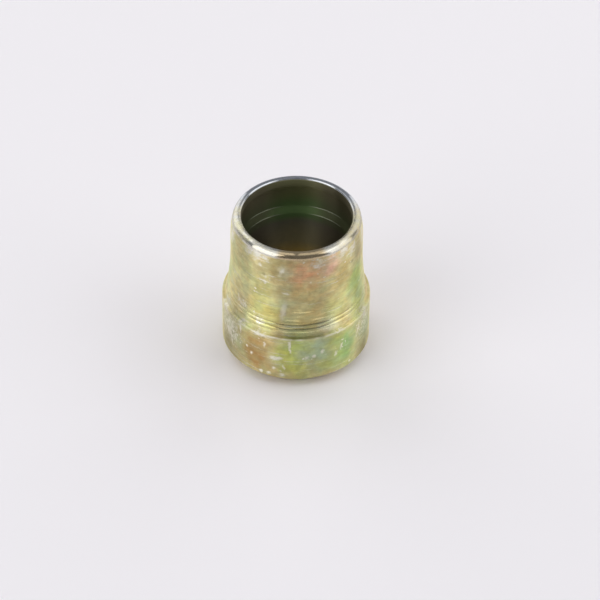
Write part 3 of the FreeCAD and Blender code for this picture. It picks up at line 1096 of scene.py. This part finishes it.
@dataclass
class TurnedOlive:
    """The ring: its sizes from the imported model, its section, and the sweep that turns it."""

    base_radius: float
    length: float
    guide_radius: float
    guide_top: float
    mouth_chamfer: float
    rear_chamfer: float
    land_top: float
    shoulder_round: float = 0.08 * MM
    shoulder_step: float = 0.26 * MM
    collar_wall: float = 0.93 * MM
    flare_length: float = 5.41 * MM
    nose_length: float = 2.33 * MM
    nose_reduction: float = 0.27 * MM
    rim_round: float = 0.54 * MM
    lip_undersize: float = 0.035 * MM
    lip_length: float = 0.9 * MM
    lip_break: float = 0.12 * MM
    relief_depth: float = 0.34 * MM
    relief_length: float = 2.55 * MM
    bore_margin: float = 0.06 * MM
    sharp_round: float = 0.03 * MM
    dull_round: float = 0.05 * MM
    fine_step: float = 0.034 * MM
    medium_step: float = 0.13 * MM
    around: int = 400
    marks: TurningMarks = TurningMarks()
    ring_depth: float = 0.075 * MM
    nicks: Specks = Specks(0.8, 0.24, 0.3)
    nick_depth: float = 0.012 * MM

    @classmethod
    def from_frame(cls, record: dict[str, Any]) -> "TurnedOlive":
        """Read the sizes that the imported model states.

        Args:
            record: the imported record, whose mounts hold the bore and the nut's land.

        Returns:
            The ring at those sizes.
        """
        mounts = {mount["name"]: mount for mount in record["mounts"]}
        bore = mounts["tube_bore"]
        land = mounts["nut_land"]
        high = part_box(NODE)[1]
        bore_half = bore["dims"]["length_mm"] * MM / 2
        land_half = land["dims"]["length_mm"] * MM / 2
        return cls(
            base_radius=land["dims"]["r_mm"] * MM,
            length=high.z,
            guide_radius=bore["dims"]["r_mm"] * MM,
            guide_top=bore["pos_m"][2] + bore_half,
            mouth_chamfer=bore["pos_m"][2] - bore_half,
            rear_chamfer=land["pos_m"][2] - land_half,
            land_top=land["pos_m"][2] + land_half,
        )

    @property
    def shoulder_height(self) -> float:
        """Where the ledge between base and flare lies."""
        return self.land_top + self.shoulder_round

    @property
    def collar_radius(self) -> float:
        """Outside of the straight collar."""
        return self.guide_radius + self.collar_wall

    @property
    def relief_radius(self) -> float:
        """Floor of the groove behind the lip."""
        return self.guide_radius + self.relief_depth

    @property
    def lip_foot(self) -> float:
        """Where the lip ends and the groove behind it begins."""
        return self.length - self.lip_length

    def stations(self) -> Stations:
        """Where the ring's forms begin and end.

        Returns:
            The heights that the finish follows, and the radius that holds all of the bore.
        """
        return Stations(
            shoulder=self.shoulder_height * PER_MM,
            guide_top=self.guide_top * PER_MM,
            relief_foot=(self.lip_foot - self.relief_length) * PER_MM,
            rim_foot=(self.length - self.rim_round) * PER_MM,
            top=self.length * PER_MM,
            bore_reach=(self.relief_radius + self.bore_margin) * PER_MM,
        )

    @staticmethod
    def swept_arc(start: Corner, rise: float, runs: list[float], sweep: Sweep) -> list[Corner]:
        """Points of an arc that leaves the collar along its wall.

        Args:
            start: the collar's end of the arc.
            rise: how far the arc leaves the collar by its far end, on the radius.
            runs: how far along the axis each point lies from the collar's end, signed, the far end last.
            sweep: which way the arc leaves the wall.

        Returns:
            The corners from the collar's end to the far end, without the first.
        """
        run = runs[-1]
        radius = (run * run + rise * rise) / (2 * rise)
        corners = []
        for along in runs:
            leave = radius - math.sqrt(radius * radius - along * along)
            corners.append(Corner(start.radius + sweep.value * leave, start.height + along))
        return corners

    @staticmethod
    def steps(start: float, end: float, step: float) -> list[float]:
        """Even steps from one number to another, without the first."""
        count = max(1, math.ceil(abs(end - start) / step - STEP_SLACK))
        return [start + (end - start) * index / count for index in range(1, count + 1)]

    def section_corners(self) -> list[Corner]:
        """The section's corners, from the rear face round the outside and back down the bore.

        Returns:
            The corners in order.
        """
        sharp = self.sharp_round
        dull = self.dull_round
        medium = self.medium_step
        lip = self.guide_radius - self.lip_undersize
        flare_foot = Corner(self.base_radius - self.shoulder_step, self.shoulder_height, sharp)
        collar_foot = Corner(self.collar_radius, self.shoulder_height + self.flare_length, step=medium)
        nose_foot = Corner(self.collar_radius, self.length - self.nose_length)
        flare_rise = flare_foot.radius - self.collar_radius
        marked = self.marks.zone_mm * MM - self.flare_length
        flare_runs = self.steps(0.0, marked, medium)
        flare_runs += self.steps(marked, -self.flare_length, self.fine_step)
        flare = self.swept_arc(collar_foot, flare_rise, flare_runs, Sweep.OUTWARD)
        crown_runs = self.steps(0.0, self.nose_length - self.rim_round, medium) + [self.nose_length]
        crown = self.swept_arc(nose_foot, self.nose_reduction, crown_runs, Sweep.INWARD)
        return [
            Corner(self.guide_radius + self.mouth_chamfer, 0.0, sharp),
            Corner(self.base_radius - self.rear_chamfer, 0.0, dull),
            Corner(self.base_radius, self.rear_chamfer, dull, medium),
            Corner(self.base_radius, self.shoulder_height, self.shoulder_round, medium),
            flare_foot,
            *reversed(flare[:-1]),
            collar_foot,
            nose_foot,
            *crown[:-1],
            Corner(crown[-1].radius, self.length, self.rim_round, medium),
            Corner(lip + self.lip_break, self.length, sharp),
            Corner(lip, self.length - self.lip_break, sharp),
            Corner(lip, self.lip_foot, sharp),
            Corner(self.relief_radius, self.lip_foot, dull),
            Corner(self.relief_radius, self.lip_foot - self.relief_length, dull),
            Corner(self.guide_radius, self.guide_top, dull),
            Corner(self.guide_radius, self.mouth_chamfer, sharp),
        ]

    @staticmethod
    def rounded(before: Corner, corner: Corner, after: Corner) -> list[Vector]:
        """The points that stand for one corner, with its round.

        Args:
            before: the corner before it.
            corner: the corner.
            after: the corner after it.

        Returns:
            The corner itself, or points along its round.
        """
        if corner.edge_round == 0.0:
            return [corner.spot]
        back = (before.spot - corner.spot).normalized()
        ahead = (after.spot - corner.spot).normalized()
        half = math.acos(max(-1.0, min(1.0, back.dot(ahead)))) / 2
        reach = corner.edge_round / math.tan(half)
        centre = corner.spot + (back + ahead).normalized() * (corner.edge_round / math.sin(half))
        first = corner.spot + back * reach - centre
        last = corner.spot + ahead * reach - centre
        count = FEW_FACETS if corner.edge_round < SMALL_ROUND else MANY_FACETS
        facet = -first.angle_signed(last) / count
        return [centre + Matrix.Rotation(facet * index, 2) @ first for index in range(count + 1)]

    def section_points(self) -> list[Vector]:
        """The whole section as points, with rounds on its edges and long runs divided.

        Returns:
            The points in order, as radius and height.
        """
        corners = self.section_corners()
        groups = [
            self.rounded(corners[index - 1], corner, corners[(index + 1) % len(corners)])
            for index, corner in enumerate(corners)
        ]
        points: list[Vector] = []
        for index, group in enumerate(groups):
            points.extend(group)
            start = group[-1]
            end = groups[(index + 1) % len(groups)][0]
            count = max(1, round((end - start).length / corners[index].step))
            points.extend(start.lerp(end, part / count) for part in range(1, count))
        return points

    def section_curve(self) -> bpy.types.Object:
        """The section as a closed flat curve about the guide bore's wall.

        Returns:
            The curve's object, with radius across and depth below the rear face up.
        """
        points = self.section_points()
        curve = bpy.data.curves.new("olive_section", "CURVE")
        curve.dimensions = "3D"
        spline = curve.splines.new("POLY")
        spline.points.add(len(points) - 1)
        for target, point in zip(spline.points, reversed(points)):
            target.co = (point.x - self.guide_radius, -point.y, 0.0, 1.0)
        spline.use_cyclic_u = True
        return add_object(curve.name, curve)

    def turning_tree(self) -> tuple[bpy.types.NodeTree, dict[str, str]]:
        """The nodes that sweep a section round the axis and mark its outside.

        Returns:
            The tree, and the identifier of each named input.
        """
        tree = bpy.data.node_groups.new("turned_ring", "GeometryNodeTree")
        face = tree.interface
        face.new_socket("Section", in_out="INPUT", socket_type="NodeSocketGeometry")
        sizes = {
            "Around": "NodeSocketInt",
            "Sweep Radius": "NodeSocketFloat",
            "Ring foot mm": "NodeSocketFloat",
            "Ring first mm": "NodeSocketFloat",
            "Ring pitch mm": "NodeSocketFloat",
            "Ring zone mm": "NodeSocketFloat",
            "Ring Depth": "NodeSocketFloat",
            "Nick Depth": "NodeSocketFloat",
            "Outside mm": "NodeSocketFloat",
            "Finish": "NodeSocketMaterial",
        }
        names = {
            name: face.new_socket(name, in_out="INPUT", socket_type=kind).identifier
            for name, kind in sizes.items()
        }
        face.new_socket("Ring", in_out="OUTPUT", socket_type="NodeSocketGeometry")
        graph = NodeGraph(tree)
        given = graph.node("NodeGroupInput").outputs

        circle = graph.node(
            "GeometryNodeCurvePrimitiveCircle",
            {"Resolution": given["Around"], "Radius": given["Sweep Radius"]},
        )
        upright = graph.node("GeometryNodeSetCurveNormal", {"Curve": circle.outputs[0]}, mode="Z_UP")
        swept = graph.node(
            "GeometryNodeCurveToMesh",
            {"Curve": upright.outputs[0], "Profile Curve": given["Section"]},
        )

        place = graph.scaled(graph.node("GeometryNodeInputPosition").outputs[0], PER_MM)
        outside = graph.math("GREATER_THAN", graph.from_axis(place), given["Outside mm"])
        marks = {name: given[f"Ring {name} mm"] for name in self.marks.sizes(0.0)}
        ring = graph.math("MULTIPLY", self.marks.share(graph, place, marks), given["Ring Depth"])
        nick = graph.math("MULTIPLY", self.nicks.at(graph, place), given["Nick Depth"])
        depth = graph.math("MULTIPLY", graph.math("ADD", ring, nick), outside)
        normal = graph.node("GeometryNodeInputNormal").outputs[0]
        inward = graph.scaled(normal, graph.math("MULTIPLY", depth, -1.0))
        marked = graph.node("GeometryNodeSetPosition", {"Geometry": swept.outputs[0], "Offset": inward})
        smooth = graph.node("GeometryNodeSetShadeSmooth", {"Geometry": marked.outputs[0]})
        real = graph.node("GeometryNodeRealizeInstances", {"Geometry": smooth.outputs[0]})
        dressed = graph.node(
            "GeometryNodeSetMaterial", {"Geometry": real.outputs[0], "Material": given["Finish"]}
        )
        graph.node("NodeGroupOutput", {"Ring": dressed.outputs[0]})
        return tree, names

    def build(self) -> bpy.types.Object:
        """Sweep the section into the ring and turn it into a plain mesh.

        Returns:
            The ring's object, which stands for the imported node.
        """
        section = self.section_curve()
        tree, names = self.turning_tree()
        modifier = section.modifiers.new("turning", "NODES")
        modifier.node_group = tree
        stations = self.stations()
        finish = YellowZinc(stations, self.marks).material()
        settings = {
            "Around": self.around,
            "Sweep Radius": self.guide_radius,
            "Ring Depth": self.ring_depth,
            "Nick Depth": self.nick_depth,
            "Outside mm": stations.bore_reach,
            "Finish": finish,
        }
        for name, size in self.marks.sizes(stations.shoulder).items():
            settings[f"Ring {name} mm"] = size
        for name, setting in settings.items():
            modifier[names[name]] = setting
        evaluated = section.evaluated_get(bpy.context.evaluated_depsgraph_get())
        mesh = bpy.data.meshes.new_from_object(evaluated)
        mesh.name = PIECE
        section.modifiers.remove(modifier)
        bpy.data.objects.remove(section)
        if finish.name not in mesh.materials:
            mesh.materials.clear()
            mesh.materials.append(finish)
        ring = add_object(PIECE, mesh)
        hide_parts(NODE)
        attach(ring, BODY)
        return ring


@dataclass(frozen=True)
class Softbox:
    """A soft lamp on a stand, placed round the ring from the front and up from the floor."""

    name: str
    azimuth_deg: float
    elevation_deg: float
    distance: float
    width: float
    height: float
    brightness: float

    def place(self) -> bpy.types.Object:
        """Hang the lamp so that it faces the ring.

        Returns:
            The lamp's object.
        """
        lamp = bpy.data.lights.new(self.name, "AREA")
        lamp.shape = "RECTANGLE"
        lamp.size = self.width
        lamp.size_y = self.height
        lamp.energy = self.brightness * math.pi * self.width * self.height
        turn = math.radians(self.azimuth_deg)
        lift = math.radians(self.elevation_deg)
        out = Vector((math.sin(turn) * math.cos(lift), -math.cos(turn) * math.cos(lift), math.sin(lift)))
        hung = add_object(self.name, lamp)
        hung.location = out * self.distance
        hung.rotation_mode = "QUATERNION"
        hung.rotation_quaternion = (-out).to_track_quat("-Z", "Y")
        return hung


@dataclass(frozen=True)
class Studio:
    """The plain pale table, the soft lamps round it and the room's own light."""

    floor_half: float = 2.0
    floor_colour: Colour = (0.92, 0.89, 0.91, 1.0)
    room_colour: Colour = (0.94, 0.97, 1.04, 1.0)
    room_strength: Step = Step(-0.9, 0.3, 0.18, 0.31)
    lamps: tuple[Softbox, ...] = (
        Softbox("lamp_front_left", -54.0, 29.0, 0.30, 0.24, 0.33, 1.53),
        Softbox("lamp_front_right", 78.0, 29.0, 0.30, 0.26, 0.33, 1.25),
        Softbox("lamp_back_left", -141.0, 29.0, 0.30, 0.24, 0.33, 1.04),
        Softbox("lamp_back_right", 140.0, 29.0, 0.30, 0.24, 0.33, 0.95),
        Softbox("lamp_high_left", -90.0, 68.0, 0.40, 0.30, 0.30, 0.66),
        Softbox("lamp_high_right", 90.0, 68.0, 0.40, 0.30, 0.30, 0.54),
    )

    def floor(self) -> bpy.types.Object:
        """Lay the table.

        Returns:
            The table's object.
        """
        half = self.floor_half
        mesh = bpy.data.meshes.new("table")
        corners = [(-half, -half, 0), (half, -half, 0), (half, half, 0), (-half, half, 0)]
        mesh.from_pydata(corners, [], [(0, 1, 2, 3)])
        paper = bpy.data.materials.new("pale_paper")
        graph = NodeGraph(blank_tree(paper))
        shader = graph.node("ShaderNodeBsdfDiffuse", {"Color": self.floor_colour})
        graph.node("ShaderNodeOutputMaterial", {"Surface": shader.outputs[0]})
        mesh.materials.append(paper)
        table = add_object("table", mesh)
        return table

    def room(self) -> None:
        """Fill the room with plain light, dimmer on the side where the photographer stands."""
        world = bpy.data.worlds.new("room")
        graph = NodeGraph(blank_tree(world))
        toward = graph.node("ShaderNodeTexCoord").outputs["Generated"]
        strength = self.room_strength.of(graph, graph.axis(toward, "Y"))
        light = graph.node("ShaderNodeBackground", {"Color": self.room_colour, "Strength": strength})
        graph.node("ShaderNodeOutputWorld", {"Surface": light.outputs[0]})
        bpy.context.scene.world = world

    def build(self) -> None:
        """Lay the table, light the room and hang the lamps."""
        self.floor()
        self.room()
        for lamp in self.lamps:
            lamp.place()


@dataclass(frozen=True)
class PhotoCamera:
    """The photograph's camera: where it looks from and where the ring stands in its frame."""

    elevation_deg: float = 41.43
    roll_deg: float = 0.65
    distance: float = 276.0 * MM
    nearest: float = 1.0 * MM
    lens: float = 180.0
    sensor: float = 36.0
    frame_px: float = 600.0
    middle_px: tuple[float, float] = (296.3, 276.6)

    def place(self, middle: Vector) -> bpy.types.Object:
        """Set the camera up.

        Args:
            middle: the ring's middle, which falls on the named spot of the frame.

        Returns:
            The camera's object.
        """
        lift = math.radians(self.elevation_deg)
        back = Vector((0.0, -math.cos(lift), math.sin(lift)))
        roll = Quaternion((0.0, 0.0, 1.0), math.radians(self.roll_deg))
        facing = (-back).to_track_quat("-Z", "Y") @ roll
        pixel = self.sensor / self.lens * self.distance / self.frame_px
        across = (self.frame_px / 2 - self.middle_px[0]) * pixel
        down = (self.frame_px / 2 - self.middle_px[1]) * pixel
        data = bpy.data.cameras.new("photo_camera")
        data.lens = self.lens
        data.sensor_width = self.sensor
        data.clip_start = self.nearest
        camera = add_object(data.name, data)
        camera.rotation_mode = "QUATERNION"
        camera.rotation_quaternion = facing
        camera.location = middle + back * self.distance + facing @ Vector((across, -down, 0.0))
        bpy.context.scene.camera = camera
        return camera


def main() -> None:
    """Build the ring, the studio and the camera, in that order."""
    logging.basicConfig(level=logging.INFO, format="%(name)s: %(message)s")
    bpy.context.scene.view_settings.view_transform = "Standard"
    ring = TurnedOlive.from_frame(frame["record"]).build()
    LOG.info("%s: %d faces", ring.name, len(ring.data.polygons))
    Studio().build()
    low, high = CAD_BOX
    PhotoCamera().place((low + high) / 2)


if __name__ == "__main__":
    main()
